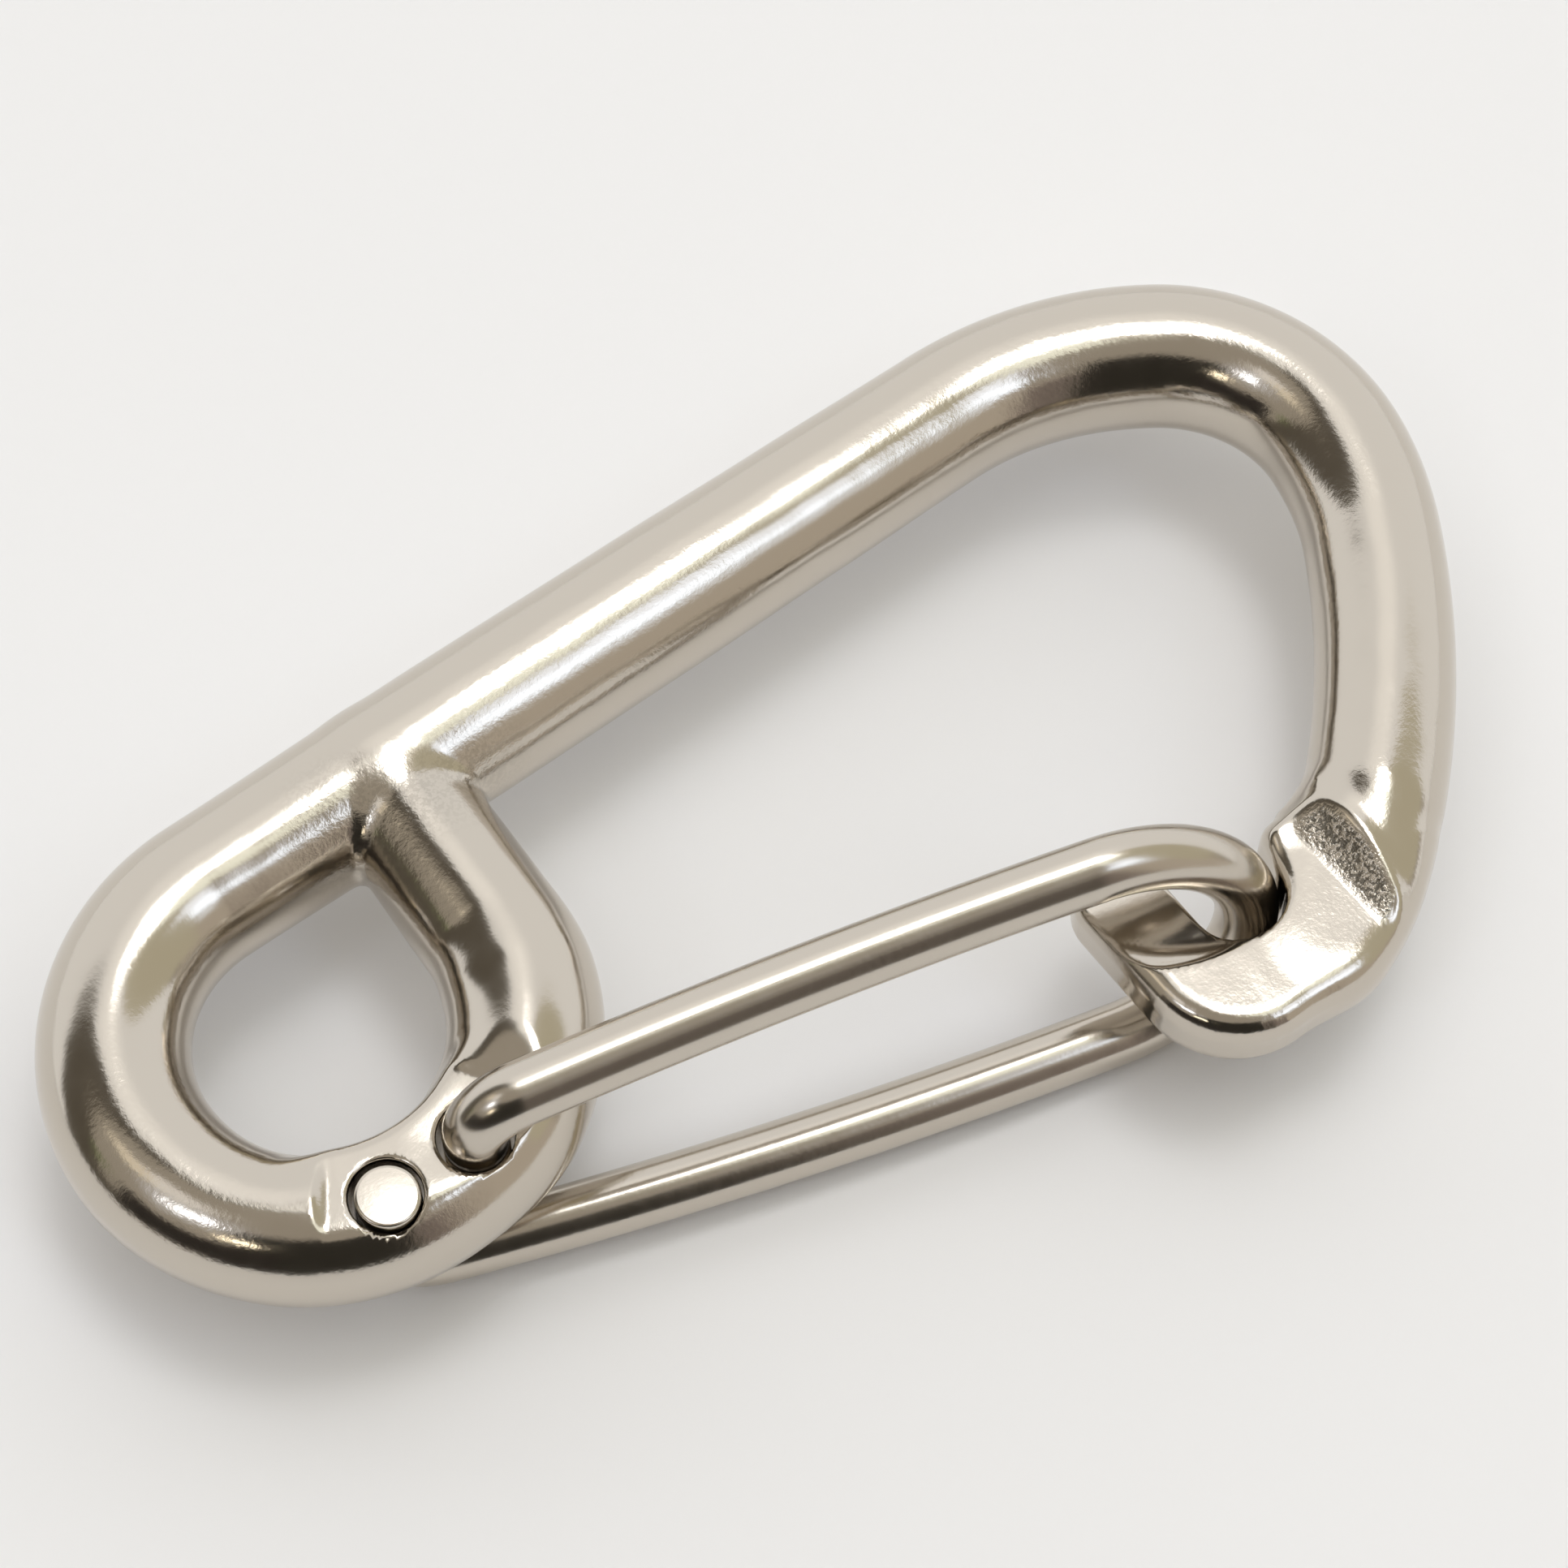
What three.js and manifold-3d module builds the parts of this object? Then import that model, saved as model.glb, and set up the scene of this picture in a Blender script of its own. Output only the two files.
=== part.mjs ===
// Carbine hook with a closed eye and a sprung wire gate, lying flat.
// Units are millimetres. The origin is the middle of the eye, on the casting's middle plane.
// +X runs along the straight spine from the eye to the hook, +Y points to the spine, +Z is the front.
import * as THREE from 'three';
import { mergeVertices } from 'three/addons/utils/BufferGeometryUtils.js';
import Module from 'manifold-3d';

const wasm = await Module();
wasm.setup();

// ---- driving dimensions -------------------------------------------------------------------

const degrees = Math.PI / 180;

// the cast rod: ring round the eye, bar between eye and hook bay, straight spine, hook
const eyeRadius = 12.55;
const ringRodRadius = 4.55;
const spineRodRadius = 4.9;
const hookRodRadius = 4.65;
const barTopX = 13.1;
const spineEndX = 58;
// each bend of the hook, as the radius of the rod's middle line and the angle it turns
const hookBends = [[25, 36], [12.5, 66], [22, 20], [60, 18], [32, 16]];

// the flat pads on both faces of the ring, and the two holes through them
const padHalfThickness = 4.1;
const padHalfAngle = 34;
const holeSpacing = 6.4;
const holeY = -12.4;
const holeRadius = 2.4;

// the nose: a thinner J-shaped plate with a thumb at its end and a notch for the wire
const noseHalfThickness = 2.7;
const noseEdgeRound = 1.7;
const noseBottomY = -35.6;
const noseLeftX = 41.5;
const noseCornerRadius = 6.5;
const noseHeelX = 54.6;
const noseHeelRadius = 9;
const noseHeelTurn = 30;
const noseHeelRun = 5;
const shoulderY = -23.7;
const shoulderChamfer = 1.3;
const thumbHalfThickness = 1.9;
const thumbWidth = 5.6;
const thumbTipY = -19.8;
const thumbStepY = -29.4;
const thumbStepRise = 4;
const thumbCutMargin = 0.4;
const notchWallLean = 0.32;
const noseCutTopY = -17.8;
const scoopStartX = 55.2;
const scoopRadius = 5;

// the wire gate: two legs joined by a U-bend that sits in the notch
const wireRadius = 2;
const elbowHeight = 6.9;
const elbowRadius = 3;
const bendHeight = 7.75;
const wireTip = new THREE.Vector3(51.1, -27.05, 0);
const bendReach = 9.4;
const bendSlant = 2.05;
const legSlope = { front: [-0.21, -0.285], rear: [-0.385, -0.24] };
const wireCutGap = 0.3;
const rearStubShift = 0.12;
const seatGap = 0.3;

// how finely round things are cut, and how far one solid runs into the next
const weldDistance = 1e-4;
const sameOutlinePoint = 0.01;
const rodSides = 20;
const ringSteps = 44;
const hookSteps = 40;
const spineSides = 24;
const wireSides = 12;
const wireSteps = 60;
const holeSides = 24;
const cutSegments = 12;
const outlineSegments = 10;
const edgeSegments = 4;
const overlapLength = 2;
const throughLength = 20;

// ---- curves -------------------------------------------------------------------------------

// A flat THREE.Path laid on the middle plane.
class PlaneCurve extends THREE.Curve {
  constructor(path) {
    super();
    this.path = path;
  }

  getPoint(t) {
    const point = this.path.getPoint(t);
    return new THREE.Vector3(point.x, point.y, 0);
  }
}

// A quarter bend that leaves start along one vector and ends along the other.
// A share below 1 stops the bend that much short of the quarter.
class QuarterBend extends THREE.Curve {
  constructor(start, along, across, share = 1) {
    super();
    this.start = start;
    this.along = along;
    this.across = across;
    this.share = share;
  }

  getPoint(t) {
    const turn = t * this.share * Math.PI / 2;
    return this.start.clone()
      .addScaledVector(this.along, Math.sin(turn))
      .addScaledVector(this.across, 1 - Math.cos(turn));
  }
}

// ---- solids -------------------------------------------------------------------------------

// Where two stretches of an outline share a point, an extrusion has triangles with no area.
function withoutSlivers(index) {
  const kept = [];
  for (let i = 0; i < index.length; i += 3) {
    const [a, b, c] = index.slice(i, i + 3);
    if (a !== b && b !== c && c !== a) {
      kept.push(a, b, c);
    }
  }
  return kept;
}

function toManifold(geometry) {
  const bare = geometry.clone();
  bare.deleteAttribute('normal');
  bare.deleteAttribute('uv');
  const merged = mergeVertices(bare, weldDistance);
  const vertProperties = new Float32Array(merged.attributes.position.array);
  const triVerts = new Uint32Array(withoutSlivers(merged.index.array));
  return new wasm.Manifold(new wasm.Mesh({ numProp: 3, vertProperties, triVerts }));
}

function toGeometry(solid) {
  const mesh = solid.getMesh();
  const geometry = new THREE.BufferGeometry();
  geometry.setAttribute('position', new THREE.BufferAttribute(mesh.vertProperties, 3));
  geometry.setIndex(new THREE.BufferAttribute(mesh.triVerts, 1));
  geometry.computeVertexNormals();
  return geometry;
}

function joinAll(solids) {
  return solids.reduce((whole, piece) => whole.add(piece));
}

function cutAll(solid, cutters) {
  return cutters.reduce((rest, cutter) => rest.subtract(cutter), solid);
}

// A round rod along a curve, with flat ends.
function rod(curve, radius, steps, sides) {
  const section = new THREE.Shape().absarc(0, 0, radius, 0, 2 * Math.PI);
  return new THREE.ExtrudeGeometry(section, {
    steps, curveSegments: sides / 2, extrudePath: curve, bevelEnabled: false,
  });
}

// A rounded edge needs an outline with no point given twice.
function withoutRepeats(outline) {
  const points = outline.getPoints(outlineSegments);
  const isNew = (point, i) => (
    point.distanceTo(points[(i + 1) % points.length]) > sameOutlinePoint
  );
  return new THREE.Shape(points.filter(isNew));
}

// A flat outline given thickness from z = bottom to z = top.
function plate(shape, bottom, top) {
  const geometry = new THREE.ExtrudeGeometry(shape, {
    depth: top - bottom, curveSegments: cutSegments, bevelEnabled: false,
  });
  return geometry.translate(0, 0, bottom);
}

// ---- hook body ----------------------------------------------------------------------------

function spine() {
  const length = spineEndX + overlapLength;
  const bar = new THREE.CylinderGeometry(spineRodRadius, hookRodRadius, length, spineSides);
  bar.rotateZ(Math.PI / 2);
  return bar.translate(length / 2, eyeRadius, 0);
}

// The ring leaves the spine over the eye, goes round three quarters of a circle,
// and runs up as the bar to meet the spine again.
function ring() {
  const path = new THREE.Path();
  path.moveTo(overlapLength, eyeRadius);
  path.lineTo(0, eyeRadius);
  path.absarc(0, 0, eyeRadius, 90 * degrees, 360 * degrees, false);
  path.lineTo(barTopX, eyeRadius);
  return rod(new PlaneCurve(path), ringRodRadius, ringSteps, rodSides);
}

// The hook is a chain of arcs that all turn clockwise, each starting where the last one ended.
function hook() {
  const path = new THREE.Path();
  let x = spineEndX;
  let y = eyeRadius;
  let heading = 0;
  path.moveTo(x, y);
  for (const [radius, turn] of hookBends) {
    const centreX = x + radius * Math.sin(heading);
    const centreY = y - radius * Math.cos(heading);
    const from = heading + Math.PI / 2;
    const to = from - turn * degrees;
    path.absarc(centreX, centreY, radius, from, to, true);
    x = centreX + radius * Math.cos(to);
    y = centreY + radius * Math.sin(to);
    heading -= turn * degrees;
  }
  return rod(new PlaneCurve(path), hookRodRadius, hookSteps, rodSides);
}

// The nose plate: thumb at the left, rounded corner, long heel that runs out along the hook.
function nosePlate() {
  const thumbRadius = thumbWidth / 2;
  const thumbX = noseLeftX + thumbRadius;
  const thumbY = thumbTipY - thumbRadius;
  const cornerX = noseLeftX + noseCornerRadius;
  const cornerY = noseBottomY + noseCornerRadius;
  const outline = new THREE.Shape();
  outline.moveTo(spineEndX, shoulderY);
  outline.lineTo(noseLeftX + thumbWidth, shoulderY);
  outline.lineTo(noseLeftX + thumbWidth, thumbY);
  outline.absarc(thumbX, thumbY, thumbRadius, 0, Math.PI, false);
  outline.lineTo(noseLeftX, cornerY);
  outline.absarc(cornerX, cornerY, noseCornerRadius, Math.PI, 1.5 * Math.PI, false);
  outline.absarc(noseHeelX, noseBottomY + noseHeelRadius, noseHeelRadius,
    -90 * degrees, (noseHeelTurn - 90) * degrees, false);
  const heelEnd = outline.currentPoint;
  outline.lineTo(
    heelEnd.x + noseHeelRun * Math.cos(noseHeelTurn * degrees),
    heelEnd.y + noseHeelRun * Math.sin(noseHeelTurn * degrees),
  );
  const geometry = new THREE.ExtrudeGeometry(withoutRepeats(outline), {
    depth: 2 * (noseHalfThickness - noseEdgeRound),
    bevelEnabled: true,
    bevelThickness: noseEdgeRound,
    bevelSize: noseEdgeRound,
    bevelOffset: -noseEdgeRound,
    bevelSegments: edgeSegments,
  });
  return geometry.translate(0, 0, noseEdgeRound - noseHalfThickness);
}

// The notch is a slot with a round bottom, open towards the spine.
// Its far wall stands just clear of the closed wire, and leans away along the wire's swing.
function notch() {
  const left = noseLeftX + thumbWidth;
  const right = wireTip.x + wireRadius + seatGap;
  const radius = (right - left) / 2;
  const wallTopY = shoulderY - shoulderChamfer;
  const wallTopX = right + notchWallLean * (wallTopY - wireTip.y);
  const outline = new THREE.Shape();
  outline.moveTo(wallTopX + shoulderChamfer, noseCutTopY);
  outline.lineTo(left, noseCutTopY);
  outline.absarc(left + radius, wireTip.y, radius, Math.PI, 2 * Math.PI, false);
  outline.lineTo(wallTopX, wallTopY);
  outline.lineTo(wallTopX + shoulderChamfer, shoulderY);
  outline.closePath();
  return plate(outline, -throughLength / 2, throughLength / 2);
}

// Above the cheek the hook's rod is cut away, with a concave scoop where the cheek ends.
// Side is 1 for the front face and -1 for the back.
function cheekCut(side) {
  const farX = noseLeftX - noseCornerRadius;
  const top = noseHalfThickness + scoopRadius;
  const profile = new THREE.Shape();
  profile.moveTo(farX, noseHalfThickness);
  profile.lineTo(scoopStartX, noseHalfThickness);
  profile.absarc(scoopStartX, top, scoopRadius, -90 * degrees, 0, false);
  profile.lineTo(farX, top);
  profile.closePath();
  const lowY = noseBottomY - noseEdgeRound;
  const halfLength = (thumbTipY - lowY) / 2;
  const block = plate(profile, -halfLength, halfLength);
  block.rotateX(side * Math.PI / 2);
  return block.translate(0, lowY + halfLength, 0);
}

// The thumb is thinner than the cheek, from a slanted step upwards.
function thumbCut(side) {
  const right = noseLeftX + thumbWidth + thumbCutMargin;
  const left = noseLeftX - thumbCutMargin;
  const outline = new THREE.Shape();
  outline.moveTo(left, thumbStepY + thumbStepRise);
  outline.lineTo(right, thumbStepY);
  outline.lineTo(right, noseCutTopY);
  outline.lineTo(left, noseCutTopY);
  outline.closePath();
  const low = side > 0 ? thumbHalfThickness : -hookRodRadius;
  const high = side > 0 ? hookRodRadius : -thumbHalfThickness;
  return plate(outline, low, high);
}

// A pad is a flat cut across the crown of the ring, between two radial steps.
function padCut(side) {
  const from = (-90 - padHalfAngle) * degrees;
  const to = (-90 + padHalfAngle) * degrees;
  const outline = new THREE.Shape();
  outline.absarc(0, 0, eyeRadius + spineRodRadius, from, to, false);
  outline.absarc(0, 0, eyeRadius - spineRodRadius, to, from, true);
  outline.closePath();
  const low = side > 0 ? padHalfThickness : -throughLength / 2;
  const high = side > 0 ? throughLength / 2 : -padHalfThickness;
  return plate(outline, low, high);
}

function wireHole(side) {
  const hole = new THREE.CylinderGeometry(holeRadius, holeRadius, throughLength, holeSides);
  hole.rotateX(Math.PI / 2);
  return hole.translate(side * holeSpacing / 2, holeY, 0);
}

function hookBody() {
  const whole = joinAll([spine(), ring(), hook(), nosePlate()].map(toManifold));
  const cutters = [notch()];
  for (const side of [1, -1]) {
    cutters.push(cheekCut(side), thumbCut(side), padCut(side), wireHole(side));
  }
  return toGeometry(cutAll(whole, cutters.map(toManifold)));
}

// ---- wire gate ----------------------------------------------------------------------------

// Half of the gate, from its stub in the ring to the tip of the U-bend.
// Side is 1 for the front leg and -1 for the rear leg behind the body.
// The slopes are the leg's own, where it leaves the elbow and where it meets the U-bend.
function gateHalf(side, [slopeOut, slopeIn]) {
  const stubX = side * holeSpacing / 2 - (side < 0 ? rearStubShift : 0);
  const headingOut = new THREE.Vector3(1, slopeOut, 0).normalize();
  const headingIn = new THREE.Vector3(1, slopeIn, 0).normalize();

  const stubEnd = new THREE.Vector3(stubX, holeY, -side * padHalfThickness);
  const elbowStart = new THREE.Vector3(stubX, holeY, side * (elbowHeight - elbowRadius));
  const elbowUp = new THREE.Vector3(0, 0, side * elbowRadius);
  const elbowOut = headingOut.clone().multiplyScalar(elbowRadius);
  const legStart = elbowStart.clone().add(elbowUp).add(elbowOut);

  const across = new THREE.Vector3(0, -bendSlant, -bendHeight).multiplyScalar(side);
  const reach = headingIn.clone().multiplyScalar(bendReach);
  const legEnd = wireTip.clone().sub(across).sub(reach);
  const legMiddle = legStart.clone().addScaledVector(headingOut, legStart.distanceTo(legEnd) / 2);
  const share = 1 - wireCutGap / (Math.PI * bendReach);

  const path = new THREE.CurvePath();
  path.add(new THREE.LineCurve3(stubEnd, elbowStart));
  path.add(new QuarterBend(elbowStart, elbowUp, elbowOut));
  path.add(new THREE.QuadraticBezierCurve3(legStart, legMiddle, legEnd));
  path.add(new QuarterBend(legEnd, reach, across, share));
  return rod(path, wireRadius, wireSteps, wireSides);
}

// ---- the assembly -------------------------------------------------------------------------

const castSteel = new THREE.MeshStandardMaterial({ color: 0xbdb8af, metalness: 1, roughness: 0.22 });
const wireSteel = new THREE.MeshStandardMaterial({ color: 0xc4bfb6, metalness: 1, roughness: 0.18 });

const assembly = new THREE.Group();

function addPiece(name, geometry, material) {
  const mesh = new THREE.Mesh(geometry, material);
  mesh.name = name;
  assembly.add(mesh);
}

addPiece('hook_body', hookBody(), castSteel);
addPiece('gate_wire_front', gateHalf(1, legSlope.front), wireSteel);
addPiece('gate_wire_rear', gateHalf(-1, legSlope.rear), wireSteel);

export default assembly;
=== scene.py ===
"""A carbine hook with a closed eye and a sprung wire gate, in polished stainless steel, lying flat.

The shape code works in millimetres in the CAD frame: X runs along the spine from the eye to the
hook, Y from the gate to the spine, and Z out of the front face. Angles are in degrees.
"""

import math

import bpy
import numpy as np
from mathutils import Matrix, Vector


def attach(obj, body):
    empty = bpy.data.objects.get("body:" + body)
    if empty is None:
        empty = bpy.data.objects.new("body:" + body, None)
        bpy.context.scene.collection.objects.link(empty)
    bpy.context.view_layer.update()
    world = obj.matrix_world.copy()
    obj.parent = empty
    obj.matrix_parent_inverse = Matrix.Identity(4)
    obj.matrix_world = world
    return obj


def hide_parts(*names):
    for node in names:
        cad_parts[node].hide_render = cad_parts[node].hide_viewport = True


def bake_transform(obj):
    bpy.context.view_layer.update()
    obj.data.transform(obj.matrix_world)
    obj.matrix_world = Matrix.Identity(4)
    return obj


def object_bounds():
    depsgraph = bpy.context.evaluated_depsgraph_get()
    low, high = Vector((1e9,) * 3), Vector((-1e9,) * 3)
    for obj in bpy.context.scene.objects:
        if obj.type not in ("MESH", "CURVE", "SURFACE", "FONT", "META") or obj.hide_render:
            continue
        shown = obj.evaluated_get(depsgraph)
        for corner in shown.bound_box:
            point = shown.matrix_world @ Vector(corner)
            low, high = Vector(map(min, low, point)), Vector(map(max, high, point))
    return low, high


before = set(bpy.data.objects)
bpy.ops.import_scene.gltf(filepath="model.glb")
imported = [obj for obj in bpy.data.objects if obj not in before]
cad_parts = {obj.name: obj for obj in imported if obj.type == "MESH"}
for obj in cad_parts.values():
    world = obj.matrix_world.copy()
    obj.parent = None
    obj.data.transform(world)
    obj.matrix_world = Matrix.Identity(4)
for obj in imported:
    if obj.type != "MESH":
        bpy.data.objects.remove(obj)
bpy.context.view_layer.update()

# ---- driving dimensions, in millimetres -----------------------------------------------------

MM = 0.001
# how far an outline or a cut runs on past what hides its end
OVERRUN = 1

# the box that the casting's surface is looked for in, and the size of its cells
GRID = 0.28
BODY_LOW = (-17.8, -36.4, -5.5)
BODY_HIGH = (82.6, 17.9, 5.5)

# the cast rod: its middle line, and its radius at stations along each stretch
EYE_RADIUS = 12.55
SPINE_END_X = 58.0
SPINE_STATIONS = [0, 19, 34, 46, 58]
SPINE_RADII = [4.72, 4.94, 4.88, 4.76, 4.63]
RING_START = 90
RING_TURN = 270
RING_STATIONS = [90, 180, 225, 270, 300, 340, 360]
RING_RADII = [4.72, 4.72, 4.5, 4.35, 4.85, 4.85, 4.62]
BAR_TOP_X = 13.1
BAR_RADII = [4.62, 4.5]
# each bend of the hook as its radius and turn, and the rod's radius from one end to the next
HOOK_BENDS = [(25, 36), (12.5, 66), (22, 20), (60, 18), (40, 16)]
HOOK_RADII = [4.63, 4.8, 4.66, 4.52, 4.53, 3.8]
# the rod ends in the nose this much wider than it is thick
END_SQUASH = 1.35
# the fillet between bar and spine, which grows from the start height over the rise above it
JUNCTION_FILLET = 1.0
FILLET_START_Y = 0.5
FILLET_RISE = 6
FILLET_LEAST = 0.02

# the boss that fills out the eye's rim under the pads. Between the two fade angles its inner edge
# recedes and its top drops.
BOSS_INNER_RADIUS = 8.75
BOSS_OUTER_RADIUS = 13.0
BOSS_FADE_START = 25
BOSS_FADE_END = 85
BOSS_RECEDE = 2.6
BOSS_DROP = 2.0
BOSS_PROUD = 0.1
BOSS_ROUND = 1.1
BOSS_BLEND = 0.8

# the flat pads, and the wire's holes with their shallow dishes, whose edges are all PAD_EDGE round
PAD_Z = 4.1
PAD_HALF_ANGLE = 34
PAD_END_ROUND = 1.0
PAD_EDGE = 0.3
HOLE_X = {"front": 3.2, "rear": -3.2}
HOLE_Y = -12.4
HOLE_RADIUS = {"front": 2.35, "rear": 2.25}
DISH_RADIUS = 3.35
DISH_DEPTH = 0.25

# the nose
NOSE_Z = 2.7
NOSE_RIM_ROUND = 1.85
NOSE_BOTTOM_Y = -35.8
NOSE_LEFT_X = 41.5
NOSE_CORNER_RADIUS = 6.5
HEEL_CENTRE_X = 51.95
HEEL_RADIUS = 12.6
HEEL_TURN = 52
NOSE_BLEND = 2.2

# the thumb, whose step down from the cheek is an arc
THUMB_Z = 1.9
THUMB_WIDTH = 5.6
THUMB_TIP_Y = -19.8
THUMB_STEP_CENTRE = (49.4, -18.4)
THUMB_STEP_RADIUS = 11.7
THUMB_SCOOP = 2.8
THUMB_EDGE = 0.25

# the notch, whose edge is rounder up its far wall: that fades in from a start over a length.
# Its outline runs past the thumb's tip and the shoulder by their clearances.
NOTCH_LEFT_X = 47.1
NOTCH_RIGHT_X = 53.25
NOTCH_WALL_TILT = 17.5
NOTCH_CENTRE_Y = -27.05
NOTCH_EDGE = 0.35
NOTCH_WALL_EDGE = 1.1
NOTCH_WALL_FROM_X = (50.5, 3)
NOTCH_WALL_FROM_Y = (-31, 4)
THUMB_CLEARANCE = 4
SHOULDER_Y = -23.95
SHOULDER_ROUND = 1.5
SHOULDER_CLEARANCE = 0.4

# the scoop that makes the flat cheek and its concave wall, and the soft lip round it
# (a pair of numbers is where the lip starts to fade in, and over what length)
SCOOP_RIGHT_X = 58.5
SCOOP_TOP_Y = -23.9
SCOOP_ROUND = 3.0
SCOOP_CORNER = 2.0
SCOOP_EDGE = 0.6
LIP_HEIGHT = 0.28
LIP_WIDTH = 0.85
LIP_FROM_Z = (1.4, 1.6)
LIP_FROM_WALL = (-2.6, 2)

# the casting's grain: its height, how near the scoop's surface it is found, and how strong it is
# in each spot round the junction, which has a centre and a reach
GRAIN_HEIGHT = 0.022
GRAIN_SEED = 7
GRAIN_REACH = 0.192
GRAIN_FADE = 0.12
GRAIN_START_X = 55.4
GRAIN_TO_NORMALS = 1.6
JUNCTION_GRAIN = 0.22
JUNCTION_SPOTS = [((9, 8.5, 3.5), 6), ((17.5, 8, 3), 5), ((13, 8, 4.5), 4)]

# the wire gate
WIRE_RADIUS = 2.0
WIRE_SIDES = 36
WIRE_START_Z = 3.0
WIRE_SHIFT = {"front": 0.0, "rear": -0.12}
ELBOW_HEIGHT = 6.9
ELBOW_RADIUS = 3.0
ENTRY_END_Z = 3.45
BEND_HEIGHT = 7.75
BEND_REACH = 9.4
BEND_SLANT = 2.05
WIRE_TIP = (51.1, -27.05, 0.0)
ELBOW_POINTS = 25
LEG_POINTS = 121
U_BEND_POINTS = 61
# each leg's slope where it leaves its elbow and where it reaches the U-bend
LEG_SLOPE = {"front": (-0.21, -0.285), "rear": (-0.385, -0.24)}

# the wire's peened ends: rows of height above the pad, radius, and whether the face leans there
STUB_GAP = 0.1
STUB_LEAN = 0.07
STUB_LEAN_TO = 217
STUB_SHIFT = {"front": (0, 0), "rear": (0.05, -0.13)}
STUB_END = [(0.3, 2.0, 0), (0.08, 1.96, 1), (0.01, 1.88, 1), (0, 1.75, 1)]

# ---- distance fields ------------------------------------------------------------------------


def smooth_min(a, b, k):
    share = np.clip(0.5 + 0.5 * (b - a) / k, 0, 1)
    return b * (1 - share) + a * share - k * share * (1 - share)


def smooth_cut(solid, cutter, k):
    """The solid less the cutter, with the edge rounded over about k."""
    return -smooth_min(-solid, cutter, k)


def soft_step(value):
    """0 below 0, 1 above 1, and level at both ends."""
    value = np.clip(value, 0, 1)
    return value * value * (3 - 2 * value)


def fade_in(value, start, length):
    """0 up to the start, 1 from a length beyond it, and smooth between."""
    return soft_step((value - start) / length)


def eased(share, stations, radii):
    """The radius at a share of the way, level at each station so that no ring shows there."""
    place = np.interp(share, stations, range(len(stations)))
    whole = np.floor(place)
    return np.interp(whole + soft_step(place - whole), range(len(radii)), radii)


def bar_rod(x, y, z, start, end, stations, radii):
    """A straight rod whose radius is read from stations that run from 0 to 1."""
    along = (end[0] - start[0], end[1] - start[1])
    length = math.hypot(*along)
    share = ((x - start[0]) * along[0] + (y - start[1]) * along[1]) / length ** 2
    share = np.clip(share, 0, 1)
    off = np.hypot(x - start[0] - share * along[0], y - start[1] - share * along[1])
    return np.hypot(off, z) - eased(share, stations, radii)


def arc_rod(x, y, z, centre, radius, start, turn, stations, radii, squash=1.0):
    """A rod round part of a circle, where a negative turn is clockwise.

    Towards its end the section is flattened by the squash.
    """
    half = math.radians(abs(turn)) / 2
    middle = math.radians(start + turn / 2)
    angle = np.arctan2(y - centre[1], x - centre[0]) - middle
    angle = (angle + math.pi) % (2 * math.pi) - math.pi
    angle = np.clip(angle, -half, half)
    off = np.hypot(
        x - centre[0] - radius * np.cos(angle + middle),
        y - centre[1] - radius * np.sin(angle + middle),
    )
    share = (angle * math.copysign(1, turn) + half) / (2 * half)
    return np.hypot(off, z * eased(share, [0, 1], [1, squash])) - eased(share, stations, radii)


def outline_distance(x, y, points):
    """The signed distance in the plane to a closed outline, negative inside."""
    near = np.full(np.broadcast(x, y).shape, np.inf)
    inside = np.zeros(near.shape, bool)
    for (ax, ay), (bx, by) in zip(points, points[1:] + points[:1]):
        ex, ey = bx - ax, by - ay
        length2 = ex * ex + ey * ey
        if length2 == 0:
            continue
        share = np.clip(((x - ax) * ex + (y - ay) * ey) / length2, 0, 1)
        near = np.minimum(near, (x - ax - share * ex) ** 2 + (y - ay - share * ey) ** 2)
        if ay != by:
            crosses = ((ay > y) != (by > y)) & (x < ax + ex * (y - ay) / ey)
            inside ^= crosses
    return np.where(inside, -1, 1) * np.sqrt(near)


def rounded_corner(across, up, radius):
    """Where a wall meets a face, with their edge rounded: both distances are negative inside."""
    across = across + radius
    up = up + radius
    outer = np.hypot(np.maximum(across, 0), np.maximum(up, 0))
    return np.minimum(np.maximum(across, up), 0) + outer - radius


def arc_points(centre, radius, start, end, count=12):
    angles = np.radians(np.linspace(start, end, count))
    return [(centre[0] + radius * math.cos(a), centre[1] + radius * math.sin(a)) for a in angles]


def hook_arcs():
    """Each bend of the hook as its centre, radius, start angle and turn, one after the other."""
    x, y, heading = SPINE_END_X, EYE_RADIUS, 0.0
    arcs = []
    for radius, turn in HOOK_BENDS:
        centre = (
            x + radius * math.sin(math.radians(heading)),
            y - radius * math.cos(math.radians(heading)),
        )
        arcs.append((centre, radius, heading + 90, -turn))
        heading -= turn
        x = centre[0] - radius * math.sin(math.radians(heading))
        y = centre[1] + radius * math.cos(math.radians(heading))
    return arcs


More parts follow.
